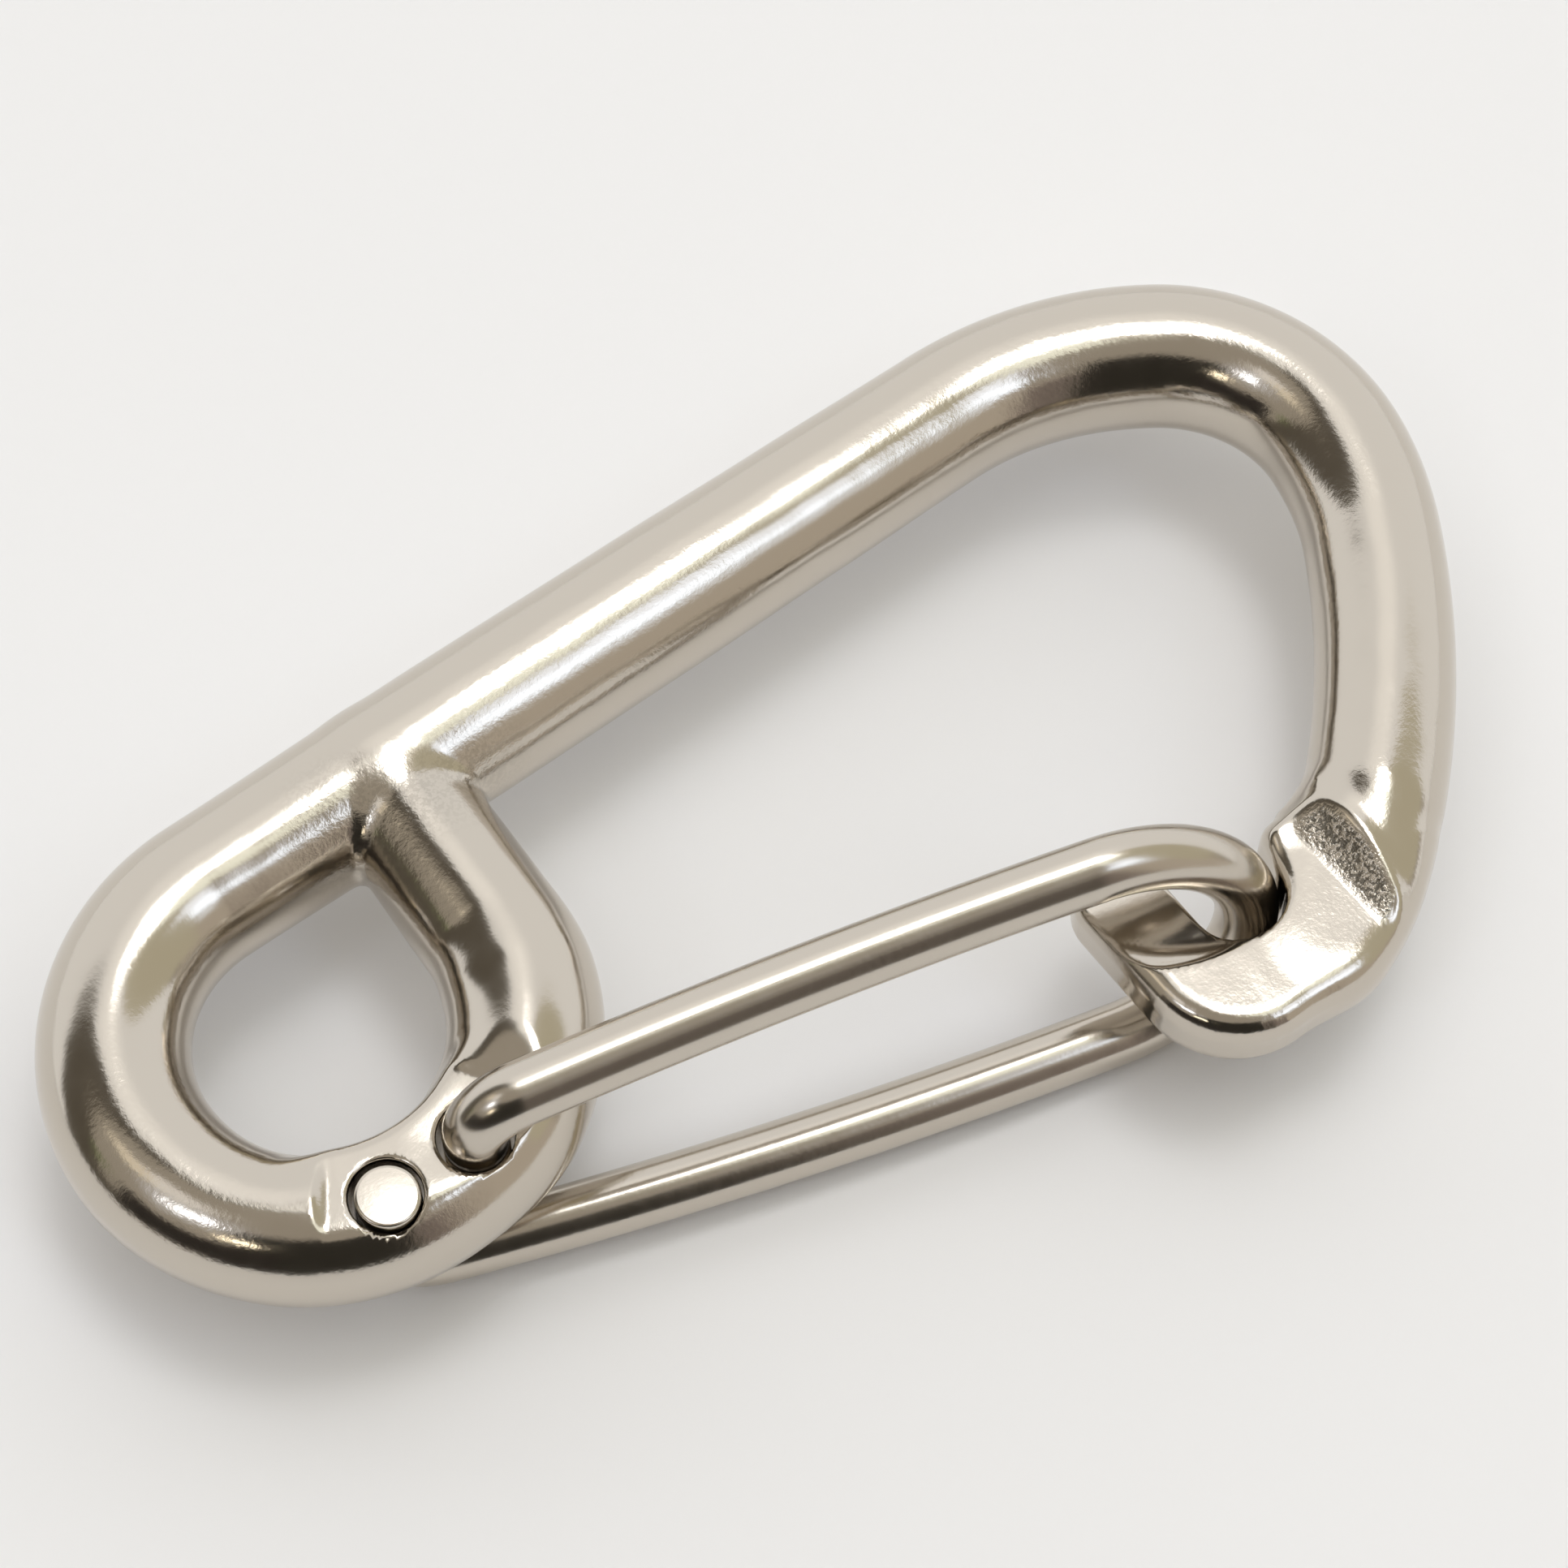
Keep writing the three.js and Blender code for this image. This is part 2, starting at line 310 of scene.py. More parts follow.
def rod_field(x, y, z):
    """The whole bent rod: spine, ring, bar and hook."""
    spine_shares = np.array(SPINE_STATIONS) / SPINE_END_X
    solid = bar_rod(x, y, z, (0, EYE_RADIUS), (SPINE_END_X, EYE_RADIUS), spine_shares, SPINE_RADII)
    ring_shares = (np.array(RING_STATIONS) - RING_START) / RING_TURN
    ring = arc_rod(x, y, z, (0, 0), EYE_RADIUS, RING_START, RING_TURN, ring_shares, RING_RADII)
    solid = np.minimum(solid, ring)
    bar = bar_rod(x, y, z, (EYE_RADIUS, 0), (BAR_TOP_X, EYE_RADIUS), [0, 1], BAR_RADII)
    # the fillet fades out down the bar, where bar and ring are one rod
    fillet = FILLET_LEAST + JUNCTION_FILLET * fade_in(y, FILLET_START_Y, FILLET_RISE)
    solid = smooth_min(solid, bar, fillet)
    for i, (centre, radius, start, turn) in enumerate(hook_arcs()):
        squash = END_SQUASH if i == len(HOOK_BENDS) - 1 else 1.0
        bend = arc_rod(x, y, z, centre, radius, start, turn, [0, 1], HOOK_RADII[i:i + 2], squash)
        solid = np.minimum(solid, bend)
    return solid


def boss_field(x, y, z):
    """A flat-topped sector of the ring, which recedes from the eye and drops away from the pads."""
    out = np.hypot(x, y)
    angle = np.degrees(np.abs(np.arctan2(x, -y)))
    share = fade_in(angle, BOSS_FADE_START, BOSS_FADE_END - BOSS_FADE_START)
    inner = BOSS_INNER_RADIUS + BOSS_RECEDE * share
    radial = np.maximum(inner - out, out - BOSS_OUTER_RADIUS)
    end = np.radians(angle - BOSS_FADE_END) * EYE_RADIUS
    plan = np.maximum(radial, end)
    return rounded_corner(plan, np.abs(z) - PAD_Z - BOSS_PROUD + BOSS_DROP * share, BOSS_ROUND)


def nose_outline():
    """Round the nose: shoulder, thumb, front corner, bottom and heel."""
    thumb_radius = THUMB_WIDTH / 2
    corner = NOSE_CORNER_RADIUS
    # over the notch, which is cut away later, the outline runs up to the thumb's tip
    middle_x = (NOTCH_LEFT_X + NOTCH_RIGHT_X) / 2
    points = [(SPINE_END_X + OVERRUN, SHOULDER_Y), (middle_x, SHOULDER_Y), (middle_x, THUMB_TIP_Y)]
    tip = (NOSE_LEFT_X + thumb_radius, THUMB_TIP_Y - thumb_radius)
    points += arc_points(tip, thumb_radius, 90, 180)
    points += arc_points((NOSE_LEFT_X + corner, NOSE_BOTTOM_Y + corner), corner, 180, 270)
    heel = (HEEL_CENTRE_X, NOSE_BOTTOM_Y + HEEL_RADIUS)
    return points + arc_points(heel, HEEL_RADIUS, -90, HEEL_TURN - 90)


def notch_outline():
    """A slot with a round bottom, whose far wall leans away along the wire's swing."""
    tilt = math.radians(NOTCH_WALL_TILT)
    left = NOTCH_LEFT_X
    top = THUMB_TIP_Y + THUMB_CLEARANCE
    radius = (NOTCH_RIGHT_X - left) / (1 + 1 / math.cos(tilt))
    centre = (left + radius, NOTCH_CENTRE_Y)
    points = [(left, top)]
    points += arc_points(centre, radius, 180, 360 - NOTCH_WALL_TILT)
    foot_x, foot_y = points[-1]
    up = SHOULDER_Y - SHOULDER_ROUND * (1 - math.sin(tilt)) - foot_y
    shoulder = (
        foot_x + up * math.tan(tilt) + SHOULDER_ROUND * math.cos(tilt),
        SHOULDER_Y - SHOULDER_ROUND,
    )
    points += arc_points(shoulder, SHOULDER_ROUND, 180 - NOTCH_WALL_TILT, 90)
    above = SHOULDER_Y + SHOULDER_CLEARANCE
    inner = centre[0] + OVERRUN
    return points + [(shoulder[0], above), (inner, above), (inner, top)]


def scoop_plan(x, y):
    """The distance in the plane past the scoop's two walls, negative inside it."""
    return -smooth_min(SCOOP_RIGHT_X - x, SCOOP_TOP_Y - y, SCOOP_CORNER)


def scoop_field(x, y, z):
    """The cheek's flat, whose far end and inner side rise in one concave wall."""
    return rounded_corner(scoop_plan(x, y), NOSE_Z - np.abs(z), SCOOP_ROUND)


def thumb_cut_field(x, y, z):
    """What is cut from both faces of the thumb, which is thinner than the cheek."""
    cx, cy = THUMB_STEP_CENTRE
    out = np.hypot(x - cx, y - cy) - THUMB_STEP_RADIUS
    # the step's concave wall starts this far inside the arc where it meets the cheek
    rise = NOSE_Z - THUMB_Z
    run = math.sqrt(THUMB_SCOOP ** 2 - (THUMB_SCOOP - rise) ** 2)
    cut = rounded_corner(out - THUMB_SCOOP + run, THUMB_Z - np.abs(z), THUMB_SCOOP)
    return np.maximum(cut, np.maximum(x - cx, y - THUMB_TIP_Y - OVERRUN))


def body_field(x, y, z):
    """The whole casting."""
    solid = rod_field(x, y, z)
    solid = smooth_min(solid, boss_field(x, y, z), BOSS_BLEND)
    nose = rounded_corner(outline_distance(x, y, nose_outline()), np.abs(z) - NOSE_Z, NOSE_RIM_ROUND)
    solid = smooth_min(solid, nose, NOSE_BLEND)
    scoop = scoop_field(x, y, z)
    # the metal pushed aside stands up in a soft lip round the scoop's wall
    lip = np.exp(-(scoop / LIP_WIDTH) ** 2) * fade_in(np.abs(z), *LIP_FROM_Z)
    lip = lip * fade_in(scoop_plan(x, y), *LIP_FROM_WALL)
    solid = solid - LIP_HEIGHT * lip
    solid = smooth_cut(solid, scoop, SCOOP_EDGE)
    solid = smooth_cut(solid, thumb_cut_field(x, y, z), THUMB_EDGE)
    wall = fade_in(x, *NOTCH_WALL_FROM_X) * fade_in(y, *NOTCH_WALL_FROM_Y)
    edge = NOTCH_EDGE + (NOTCH_WALL_EDGE - NOTCH_EDGE) * wall
    solid = smooth_cut(solid, outline_distance(x, y, notch_outline()) + 0 * z, edge)
    # pads, holes and dishes
    half_angle = math.radians(PAD_HALF_ANGLE)
    sector = np.abs(x) * math.cos(half_angle) + y * math.sin(half_angle)
    pad = rounded_corner(sector, PAD_Z - np.abs(z), PAD_END_ROUND)
    solid = smooth_cut(solid, pad, PAD_EDGE)
    ball = (DISH_RADIUS ** 2 + DISH_DEPTH ** 2) / (2 * DISH_DEPTH)
    for side, sign in (("front", 1), ("rear", -1)):
        off = np.hypot(x - HOLE_X[side], y - HOLE_Y)
        solid = smooth_cut(solid, off - HOLE_RADIUS[side] + 0 * z, PAD_EDGE)
        dish = np.hypot(off, z - sign * (PAD_Z - DISH_DEPTH + ball)) - ball
        solid = smooth_cut(solid, dish, PAD_EDGE)
    return solid


# ---- from a field to a mesh -----------------------------------------------------------------


def field_slope(field, x, y, z, step=0.01):
    return np.stack([
        field(x + step, y, z) - field(x - step, y, z),
        field(x, y + step, z) - field(x, y - step, z),
        field(x, y, z + step) - field(x, y, z - step),
    ], axis=1) / (2 * step)


def net_of(field, low, high, step):
    """Points and four-sided faces of the field's zero surface, one point in each cell it crosses."""
    axes = [np.arange(low[i], high[i] + step, step) for i in range(3)]
    grid = np.ix_(*axes)
    value = field(*grid)
    inside = value < 0
    shape = np.array(value.shape)
    total = np.zeros(tuple(shape - 1) + (3,))
    count = np.zeros(tuple(shape - 1))
    crossings = []
    for axis in range(3):
        near = [slice(None)] * 3
        far = [slice(None)] * 3
        near[axis] = slice(0, -1)
        far[axis] = slice(1, None)
        near, far = tuple(near), tuple(far)
        cell = np.argwhere(inside[near] != inside[far])
        a = value[near][tuple(cell.T)]
        b = value[far][tuple(cell.T)]
        spot = cell.astype(float)
        spot[:, axis] += a / (a - b)
        others = [i for i in range(3) if i != axis]
        for da in (0, 1):
            for db in (0, 1):
                owner = cell.copy()
                owner[:, others[0]] -= da
                owner[:, others[1]] -= db
                np.add.at(total, tuple(owner.T), spot)
                np.add.at(count, tuple(owner.T), 1)
        crossings.append((axis, cell, inside[near][tuple(cell.T)]))
    used = count > 0
    number = np.full(used.shape, -1)
    number[used] = np.arange(used.sum())
    points = total[used] / count[used][:, None] * step + np.array(low)
    faces = []
    for axis, cell, starts_inside in crossings:
        u, v = (axis + 1) % 3, (axis + 2) % 3
        ring = []
        for du, dv in ((0, 0), (1, 0), (1, 1), (0, 1)):
            owner = cell.copy()
            owner[:, u] -= du
            owner[:, v] -= dv
            ring.append(number[tuple(owner.T)])
        quad = np.stack(ring, axis=1)
        quad[~starts_inside] = quad[~starts_inside][:, ::-1]
        faces.append(quad)
    return points, np.concatenate(faces)


def settle(field, points, rounds=4, least_slope=0.2):
    """Moves each point along the field's slope onto the surface, and gives its normal there."""
    for _ in range(rounds):
        x, y, z = points.T
        slope = field_slope(field, x, y, z)
        steep = np.maximum((slope ** 2).sum(1), least_slope)
        points = points - slope * (field(x, y, z) / steep)[:, None]
    slope = field_slope(field, *points.T)
    return points, slope / np.linalg.norm(slope, axis=1)[:, None]


def piece(name, points, faces):
    """A smooth mesh object from points in millimetres."""
    mesh = bpy.data.meshes.new(name)
    mesh.from_pydata((points * MM).tolist(), [], faces)
    mesh.update()
    mesh.shade_smooth()
    obj = bpy.data.objects.new(name, mesh)
    bpy.context.scene.collection.objects.link(obj)
    return obj


# ---- the hook body --------------------------------------------------------------------------


def nearness(points, centre, reach):
    gap = np.linalg.norm(points - np.array(centre), axis=1)
    return np.clip(1 - gap / reach, 0, 1)


def grain_share(points):
    """How much of the casting's grain is left: it shows where polishing can't reach.

    That is all over the scoop's floor and wall, and faintly in the corners round the junction.
    """
    grain = np.clip((GRAIN_REACH - np.abs(scoop_field(*points.T))) / GRAIN_FADE, 0, 1)
    grain *= np.clip(points[:, 0] - GRAIN_START_X, 0, 1)
    for centre, reach in JUNCTION_SPOTS:
        grain = np.maximum(grain, JUNCTION_GRAIN * nearness(points, centre, reach))
    return grain


points, faces = net_of(body_field, BODY_LOW, BODY_HIGH, GRID)
points, normals = settle(body_field, points)
grain = grain_share(points)
lumps = np.random.default_rng(GRAIN_SEED).normal(size=len(points)).clip(-2, 2)
points = points + normals * (GRAIN_HEIGHT * grain * lumps)[:, None]
hook = piece("hook_casting", points, faces.tolist())

# the shading follows the field where the steel is smooth, and the mesh's own lumps in the grain
lumpy = np.zeros(len(points) * 3)
hook.data.vertex_normals.foreach_get("vector", lumpy)
lumpy_share = np.minimum(grain * GRAIN_TO_NORMALS, 1)[:, None]
normals = normals + (lumpy.reshape(-1, 3) - normals) * lumpy_share
hook.data.normals_split_custom_set_from_vertices(normals.tolist())
grain_values = hook.data.attributes.new("grain", "FLOAT", "POINT")
grain_values.data.foreach_set("value", np.asarray(grain, np.float32))

# ---- the wire gate --------------------------------------------------------------------------


def quarter_bend(start, along, across, shares):
    turn = shares[:, None] * math.pi / 2
    return start + along * np.sin(turn) + across * (1 - np.cos(turn))


def gate_half(side):
    """The wire's middle line from its start inside the hole to the tip of the U-bend."""
    sign = 1 if side == "front" else -1
    stub_x = HOLE_X[side] + WIRE_SHIFT[side]
    out_slope, in_slope = LEG_SLOPE[side]
    heading_out = np.array([1, out_slope, 0]) / math.hypot(1, out_slope)
    heading_in = np.array([1, in_slope, 0]) / math.hypot(1, in_slope)
    elbow = np.array([stub_x, HOLE_Y, sign * (ELBOW_HEIGHT - ELBOW_RADIUS)])
    elbow_up = np.array([0, 0, sign * ELBOW_RADIUS])
    elbow_out = heading_out * ELBOW_RADIUS
    leg_start = elbow + elbow_up + elbow_out
    across = sign * np.array([0, -BEND_SLANT, -BEND_HEIGHT])
    reach = heading_in * BEND_REACH
    leg_end = np.array(WIRE_TIP) - across - reach
    span = np.linalg.norm(leg_end - leg_start)
    leg_middle = leg_start + heading_out * span / 2
    entry = np.array([[stub_x, HOLE_Y, sign * height] for height in (WIRE_START_Z, ENTRY_END_Z)])
    bend = quarter_bend(elbow, elbow_up, elbow_out, np.linspace(0, 1, ELBOW_POINTS))
    t = np.linspace(0, 1, LEG_POINTS)[1:-1, None]
    leg = (1 - t) ** 2 * leg_start + 2 * t * (1 - t) * leg_middle + t ** 2 * leg_end
    u_bend = quarter_bend(leg_end, reach, across, np.linspace(0, 1, U_BEND_POINTS))
    return np.concatenate([entry, bend, leg, u_bend])


def ring_faces(count, turned=False):
    """The faces of a tube through rings of points, closed at both ends; turned swaps in and out."""
    sides = WIRE_SIDES
    faces = []
    for near in range(0, (count - 1) * sides, sides):
        far = near + sides
        for j in range(sides):
            k = (j + 1) % sides
            faces.append((near + j, near + k, far + k, far + j))
    faces.append(tuple(range(sides))[::-1])
    last = (count - 1) * sides
    faces.append(tuple(range(last, last + sides)))
    return [face[::-1] for face in faces] if turned else faces


def wire_tube(path):
    """Points and faces of the wire along a path, carried along without twist."""
    tangent = np.gradient(path, axis=0)
    tangent /= np.linalg.norm(tangent, axis=1)[:, None]
    # the rings' first direction is square to the wire, and otherwise any will do
    normal = np.cross(tangent[0], [0.3, 1, 0.2])
    angles = np.linspace(0, 2 * math.pi, WIRE_SIDES, endpoint=False)
    rings = []
    for point, along in zip(path, tangent):
        normal = normal - along * normal.dot(along)
        normal /= np.linalg.norm(normal)
        side = np.cross(along, normal)
        ring = np.outer(np.cos(angles), normal) + np.outer(np.sin(angles), side)
        rings.append(point + WIRE_RADIUS * ring)
    return np.concatenate(rings), ring_faces(len(path))


def stub(side, body):
    """The wire's end inside its hole, peened flush on the far pad and ground a little aslant."""
    sign = 1 if side == "front" else -1
    shift_x, shift_y = STUB_SHIFT[side]
    x = HOLE_X[side] + shift_x
    y = HOLE_Y + shift_y
    rows = [(WIRE_START_Z - STUB_GAP, WIRE_RADIUS, 0)]
    rows += [(rise - PAD_Z, radius, leans) for rise, radius, leans in STUB_END]
    angles = sign * np.linspace(0, 2 * math.pi, WIRE_SIDES, endpoint=False)
    lean = STUB_LEAN * np.cos(angles + math.radians(STUB_LEAN_TO))
    rings = [
        [x, y, sign * height] + radius * np.stack([np.cos(angles), np.sin(angles), leans * lean], axis=1)
        for height, radius, leans in rows
    ]
    obj = piece("gate_stub_" + side, np.concatenate(rings), ring_faces(len(rows), turned=True))
    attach(obj, body)
    return obj


front_half = gate_half("front")
rear_half = gate_half("rear")
gate = piece("gate_wire", *wire_tube(np.concatenate([front_half, rear_half[-2::-1]])))
stubs = [stub("front", "gate_front"), stub("rear", "gate_rear")]

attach(hook, "hook")
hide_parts("hook_body")
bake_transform(gate)
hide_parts("gate_wire_front", "gate_wire_rear")

# ---- materials ------------------------------------------------------------------------------

# noise scales are in cycles per metre, and bump heights in metres
STEEL_COLOUR = (0.60, 0.55, 0.48)
CAST_FINISH = {"roughness": 0.14, "ripple": 0.00006, "dimple": 0.000013}
WIRE_FINISH = {"roughness": 0.19, "ripple": 0.00001, "dimple": 0.000006}
WAVE_SCALE = 260
DIMPLE_SCALE = 2600
CLOUD_SCALE = 700
ROUGHNESS_SPREAD = (0.7, 1.3)
# the dimples are strong in patches and faint between them
PATCH_SCALE = 70
PATCH_LIMIT = 0.5
PATCH_EDGE = 0.12
DIMPLE_LEAST = 0.25
# the grain's pits, and the painted shade that darkens their hollows in the base colour
PIT_SCALE = 3400
PIT_HEIGHT = 0.0001
PIT_LIMIT = 0.5
PIT_EDGE = 0.04
PIT_SHADE = 0.8
PAINTED_PIT_SHADE_COLOUR = (0.10, 0.09, 0.07)
GRAIN_ROUGHNESS = 0.12
FLOOR_COLOUR = (0.92, 0.92, 0.93)
FLOOR_ROUGHNESS = 0.6


def new_material(name):
    material = bpy.data.materials.new(name)
    material.use_nodes = True
    nodes = material.node_tree.nodes
    return material, nodes, material.node_tree.links, nodes["Principled BSDF"]


def noise(nodes, links, coordinates, scale, detail=2.0, roughness=0.5):
    node = nodes.new("ShaderNodeTexNoise")
    node.inputs["Scale"].default_value = scale
    node.inputs["Detail"].default_value = detail
    node.inputs["Roughness"].default_value = roughness
    links.new(coordinates, node.inputs["Vector"])
    return node.outputs["Fac"]


def spread(nodes, links, value, low, high):
    """Stretches a value from 0..1 to low..high."""
    node = nodes.new("ShaderNodeMapRange")
    node.inputs["To Min"].default_value = low
    node.inputs["To Max"].default_value = high
    links.new(value, node.inputs["Value"])
    return node.outputs["Result"]


def arithmetic(nodes, links, operation, a, *others):
    """A Math node, whose values are numbers or other nodes' outputs."""
    node = nodes.new("ShaderNodeMath")
    node.operation = operation
    for i, value in enumerate((a, *others)):
        if isinstance(value, (int, float)):
            node.inputs[i].default_value = value
        else:
            links.new(value, node.inputs[i])
    return node.outputs[0]


def bump(nodes, links, height, distance, normal=None):
    node = nodes.new("ShaderNodeBump")
    node.inputs["Distance"].default_value = distance
    links.new(height, node.inputs["Height"])
    if normal is not None:
        links.new(normal, node.inputs["Normal"])
    return node.outputs["Normal"]


def mix_colour(nodes, links, share, under, colour):
    """The colour laid over what is under it, a colour or a node's output, by the share."""
    node = nodes.new("ShaderNodeMix")
    node.data_type = "RGBA"
    links.new(share, node.inputs["Factor"])
    if isinstance(under, tuple):
        node.inputs[6].default_value = (*under, 1)
    else:
        links.new(under, node.inputs[6])
    node.inputs[7].default_value = (*colour, 1)
    return node.outputs[2]


def edge_share(nodes, links, value, limit, edge):
    """1 where the value is under the limit, 0 where it is over, with a smooth edge."""
    node = nodes.new("ShaderNodeMapRange")
    node.interpolation_type = "SMOOTHSTEP"
    node.inputs["From Min"].default_value = limit - edge
    node.inputs["From Max"].default_value = limit + edge
    node.inputs["To Min"].default_value = 1
    node.inputs["To Max"].default_value = 0
    links.new(value, node.inputs["Value"])
    return node.outputs["Result"]


def steel(name, roughness, ripple, dimple, has_grain):
    """Polished stainless steel. Ripple and dimple are the heights of its waviness and pitting."""
    material, nodes, links, shader = new_material(name)
    place = nodes.new("ShaderNodeTexCoord").outputs["Object"]
    shader.inputs["Metallic"].default_value = 1.0
    shader.inputs["Base Color"].default_value = (*STEEL_COLOUR, 1)
    wave = noise(nodes, links, place, WAVE_SCALE, 1.0)
    fine = noise(nodes, links, place, DIMPLE_SCALE, 3.0, 0.6)
    cloud = noise(nodes, links, place, CLOUD_SCALE, 3.0)
    rough = spread(nodes, links, cloud, *(roughness * share for share in ROUGHNESS_SPREAD))
    normal = bump(nodes, links, wave, ripple)
    patch = noise(nodes, links, place, PATCH_SCALE, 1.0)
    patch = edge_share(nodes, links, patch, PATCH_LIMIT, PATCH_EDGE)
    mottle = arithmetic(nodes, links, "MULTIPLY", fine, spread(nodes, links, patch, DIMPLE_LEAST, 1))
    normal = bump(nodes, links, mottle, dimple, normal)
    if has_grain:
        attribute = nodes.new("ShaderNodeAttribute")
        attribute.attribute_name = "grain"
        grain = attribute.outputs["Fac"]
        pits = noise(nodes, links, place, PIT_SCALE, 2.0, 0.6)
        deep = arithmetic(nodes, links, "MULTIPLY", pits, grain)
        normal = bump(nodes, links, deep, PIT_HEIGHT, normal)
        rougher = arithmetic(nodes, links, "MULTIPLY", grain, GRAIN_ROUGHNESS)
        rough = arithmetic(nodes, links, "ADD", rough, rougher)
        # painted shade: where the pits sink deepest, the base colour is darkened towards near-black
        painted_pit_shade = edge_share(nodes, links, pits, PIT_LIMIT, PIT_EDGE)
        painted_pit_shade = arithmetic(nodes, links, "MULTIPLY", painted_pit_shade, grain)
        painted_pit_shade = arithmetic(nodes, links, "MULTIPLY", painted_pit_shade, PIT_SHADE)
        paint = mix_colour(nodes, links, painted_pit_shade, STEEL_COLOUR, PAINTED_PIT_SHADE_COLOUR)
        links.new(paint, shader.inputs["Base Color"])
    links.new(rough, shader.inputs["Roughness"])
    links.new(normal, shader.inputs["Normal"])
    return material


cast_steel = steel("cast_steel_polished", **CAST_FINISH, has_grain=True)
wire_steel = steel("wire_steel_polished", **WIRE_FINISH, has_grain=False)
hook.data.materials.append(cast_steel)
for obj in (gate, *stubs):
    obj.data.materials.append(wire_steel)

# ---- floor ----------------------------------------------------------------------------------

# in metres from here on: the floor lies just under the object
FLOOR_SIZE = 6
FLOOR_GAP = 0.00005
MIDDLE_X = 0.03

floor_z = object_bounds()[0][2]
bpy.ops.mesh.primitive_plane_add(size=FLOOR_SIZE, location=(MIDDLE_X, 0, floor_z - FLOOR_GAP))
floor = bpy.context.object
floor.name = "floor"
floor_white, _, _, shader = new_material("floor_white")
shader.inputs["Base Color"].default_value = (*FLOOR_COLOUR, 1)
shader.inputs["Roughness"].default_value = FLOOR_ROUGHNESS
floor.data.materials.append(floor_white)

# ---- the studio that the steel mirrors ------------------------------------------------------

# The studio is a white sweep behind the object, lamps overhead and to the left, windows to the
# right, and a dim room. Azimuth 0 is straight away from the camera and 90 is to its right.
# Each thing covers those before it.
CAMERA_AZIMUTH = 37.2
ROOM = (0.42, 0.38, 0.32)
FLOOR_GLOW_EDGE = 1.5
WHITE = (1, 1, 1)

# each patch is its azimuth, half width, elevation, half height, edge and colour
PATCHES = {
    "room_right": (125, 30, 20, 24, 4, (0.58, 0.52, 0.44)),
    "room_right_dark": (142, 7, 20, 22, 4, (0.24, 0.20, 0.18)),
    "room_near": (180, 32, 26, 30, 5, (0.035, 0.032, 0.026)),
    "room_left_low": (-140, 26, 15, 13, 3, (0.035, 0.03, 0.026)),
    "room_left_green": (-94, 11, 18, 9, 4, (0.20, 0.24, 0.11)),
    "wall_olive": (74, 36, 40, 26, 4, (0.60, 0.56, 0.43)),
    "lamp_warm": (86, 32, 74, 7, 3, (1.38, 1.42, 1.28)),
}
# each wedge is its azimuth, half width at the horizon, edge and colour; it narrows as it rises
WEDGES = {
    "room_left_dark": (-35, 86, 4, (0.115, 0.10, 0.078)),
    "sweep": (0, 92, 3, (1.0, 1.0, 1.0)),
}
WEDGE_SLOPE = 0.9
# each disc is its azimuth, elevation, radius, edge and colour
DISCS = {
    "sweep_glow": (-2, 62, 12, 8, (1.20, 1.19, 1.18)),
    "window_high": (109, 59, 7, 3, (1.45, 1.55, 1.75)),
    "window": (119, 50, 8, 2.5, (1.85, 2.05, 2.4)),
    "window_low": (118, 40, 5, 4, (1.0, 1.05, 1.12)),
    "haze_left": (-128, 51, 11, 6, (0.66, 0.65, 0.66)),
    "haze_left_high": (-110, 63, 7, 4, (1.05, 1.03, 1.0)),
    "lamp_left": (-131, 51, 4.5, 1.3, (4.2, 4.4, 4.8)),
    "lamp_left_low": (-152, 39, 3.6, 1.3, (4.0, 3.6, 2.8)),
    "lamp_top": (-25, 77, 4, 3, (1.3, 1.3, 1.27)),
    "lamp_left_warm": (-96, 55, 6, 4, (1.0, 0.9, 0.72)),
}
# the brightest lamp, a patch over all the rest
MAIN_LAMP = (33, 31, 76.5, 8.5, 2.4, (5.6, 5.6, 5.6))


def heading(azimuth, elevation):
    a, e = math.radians(azimuth + CAMERA_AZIMUTH), math.radians(elevation)
    return (math.sin(a) * math.cos(e), math.cos(a) * math.cos(e), math.sin(e))


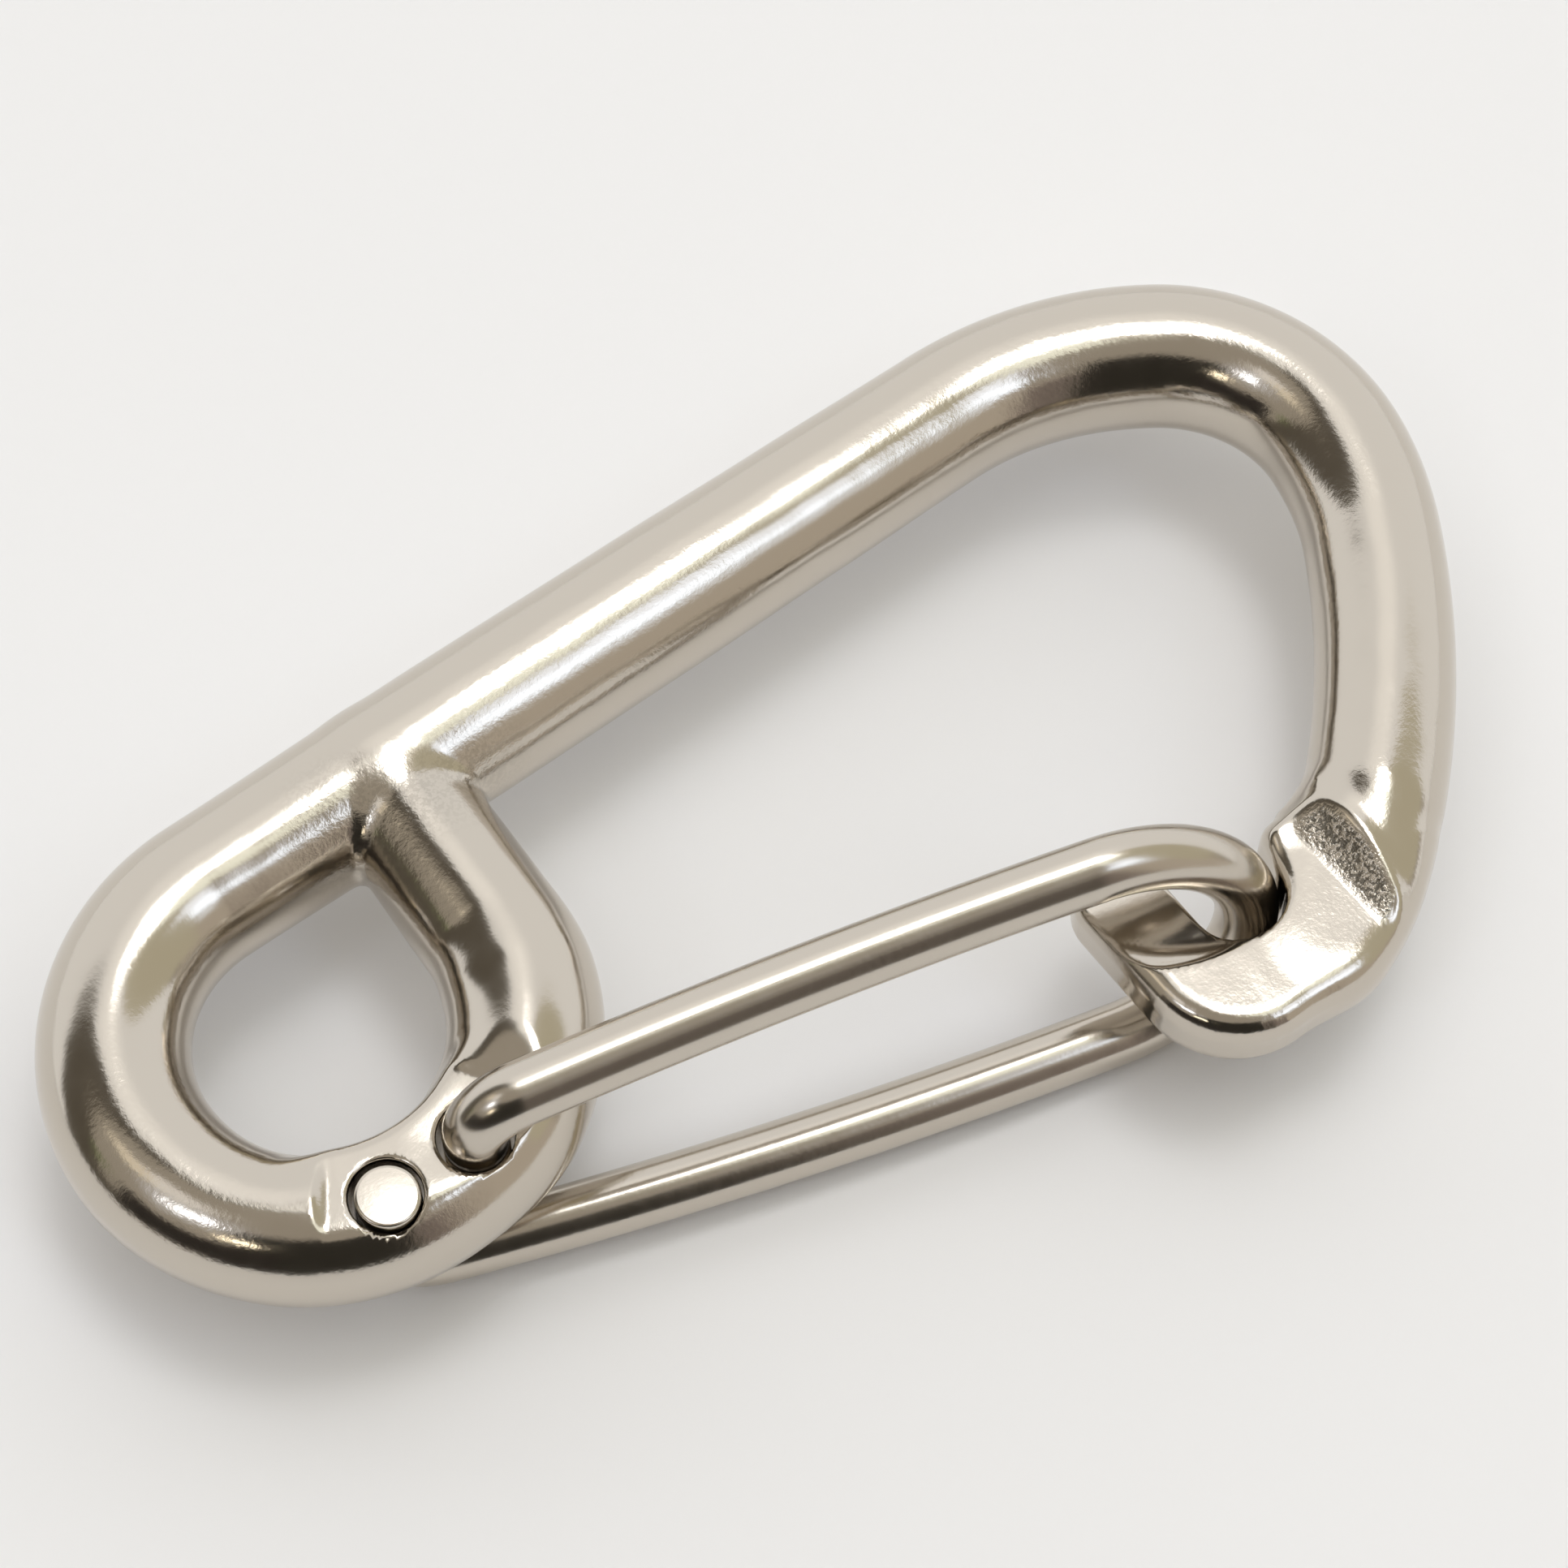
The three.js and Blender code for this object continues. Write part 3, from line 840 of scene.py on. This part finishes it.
def studio():
    world = bpy.data.worlds.new("studio")
    bpy.context.scene.world = world
    world.use_nodes = True
    nodes, links = world.node_tree.nodes, world.node_tree.links
    direction = nodes.new("ShaderNodeTexCoord").outputs["Generated"]
    split = nodes.new("ShaderNodeSeparateXYZ")
    links.new(direction, split.inputs[0])
    x, y, z = split.outputs

    def maths(operation, *values):
        return arithmetic(nodes, links, operation, *values)

    def degrees(angle):
        return maths("MULTIPLY", angle, 180 / math.pi)

    azimuth = degrees(maths("ARCTAN2", x, y))
    elevation = degrees(maths("ARCSINE", z))

    def off_azimuth(centre):
        off = maths("SUBTRACT", azimuth, centre + CAMERA_AZIMUTH)
        return maths("ABSOLUTE", maths("WRAP", off, 180, -180))

    def patch_share(centre, half, level, half_height, edge):
        high = maths("ABSOLUTE", maths("SUBTRACT", elevation, level))
        across = edge_share(nodes, links, off_azimuth(centre), half, edge)
        return maths("MULTIPLY", across, edge_share(nodes, links, high, half_height, edge))

    def wedge_share(centre, base, edge):
        rise = maths("MULTIPLY", elevation, WEDGE_SLOPE)
        return edge_share(nodes, links, maths("ADD", off_azimuth(centre), rise), base, edge)

    def disc_share(centre, level, radius, edge):
        node = nodes.new("ShaderNodeVectorMath")
        node.operation = "DOT_PRODUCT"
        links.new(direction, node.inputs[0])
        node.inputs[1].default_value = heading(centre, level)
        angle = degrees(maths("ARCCOSINE", node.outputs["Value"]))
        return edge_share(nodes, links, angle, radius, edge)

    colour = ROOM
    things = [(patch_share, row) for row in PATCHES.values()]
    things += [(wedge_share, row) for row in WEDGES.values()]
    things += [(disc_share, row) for row in DISCS.values()]
    things.append((patch_share, MAIN_LAMP))
    for share_of, (*place, paint) in things:
        colour = mix_colour(nodes, links, share_of(*place), colour, paint)
    floor_glow = edge_share(nodes, links, elevation, 0, FLOOR_GLOW_EDGE)
    colour = mix_colour(nodes, links, floor_glow, colour, WHITE)
    seen = nodes.new("ShaderNodeLightPath").outputs["Is Camera Ray"]
    colour = mix_colour(nodes, links, seen, colour, WHITE)
    links.new(colour, nodes["Background"].inputs["Color"])


studio()

# ---- light and camera -----------------------------------------------------------------------

# a soft fill that lights the floor, and that the steel doesn't mirror
FILL_WATTS = 3.6
FILL_SIZE = 1.2
FILL_HEIGHT = 1.2
CAMERA_PLACE = (-0.0352, -0.0932, 0.2128)
CAMERA_TARGET = (0.0332, -0.0031, 0)
CAMERA_LENS = 87.58
CAMERA_SENSOR = 36

fill_data = bpy.data.lights.new("fill", "AREA")
fill_data.size = FILL_SIZE
fill_data.energy = FILL_WATTS
fill = bpy.data.objects.new("fill", fill_data)
fill.location = (MIDDLE_X, 0, FILL_HEIGHT)
fill.visible_glossy = False
bpy.context.scene.collection.objects.link(fill)
bpy.context.scene.view_settings.view_transform = "Standard"

camera_data = bpy.data.cameras.new("camera")
camera_data.lens = CAMERA_LENS
camera_data.sensor_width = CAMERA_SENSOR
camera_data.clip_start = 0.01
camera = bpy.data.objects.new("camera", camera_data)
bpy.context.scene.collection.objects.link(camera)
camera.location = CAMERA_PLACE
view = (Vector(CAMERA_TARGET) - camera.location).normalized()
turn = math.radians(CAMERA_AZIMUTH)
right = Vector((math.cos(turn), -math.sin(turn), 0))
up = right.cross(view).normalized()
camera.rotation_euler = Matrix((right, up, -view)).transposed().to_euler()
bpy.context.scene.camera = camera
